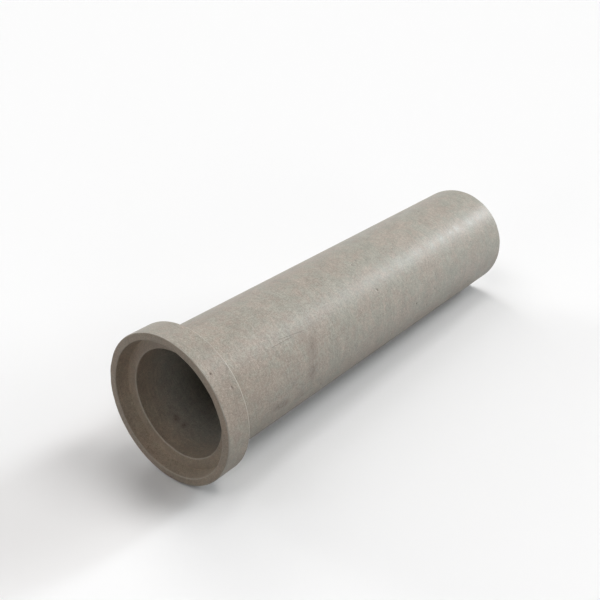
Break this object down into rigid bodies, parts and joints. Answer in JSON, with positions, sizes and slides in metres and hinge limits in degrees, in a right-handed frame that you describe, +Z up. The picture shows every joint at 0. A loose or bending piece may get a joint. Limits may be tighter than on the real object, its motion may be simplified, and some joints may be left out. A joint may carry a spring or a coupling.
{
  "type": "concrete culvert pipe",
  "caption": "Bell-and-spigot concrete culvert pipe lying on its side, with a tapered socket and shoulder in the bell and a plain spigot end, for drains laid end to end.",
  "frame": {"origin": "on the floor, under the middle of the pipe's bounding box", "axes": "+X along the pipe towards its spigot end, which leans 1.4 degrees down to the floor; +Z up"},
  "size_m": [2.923, 0.8348, 0.8379],
  "materials": {
    "concrete": "smooth mould-cast concrete with a faint satin sheen"
  },
  "bodies": {
    "root": {"pipe": "concrete"}
  },
  "joints": []
}
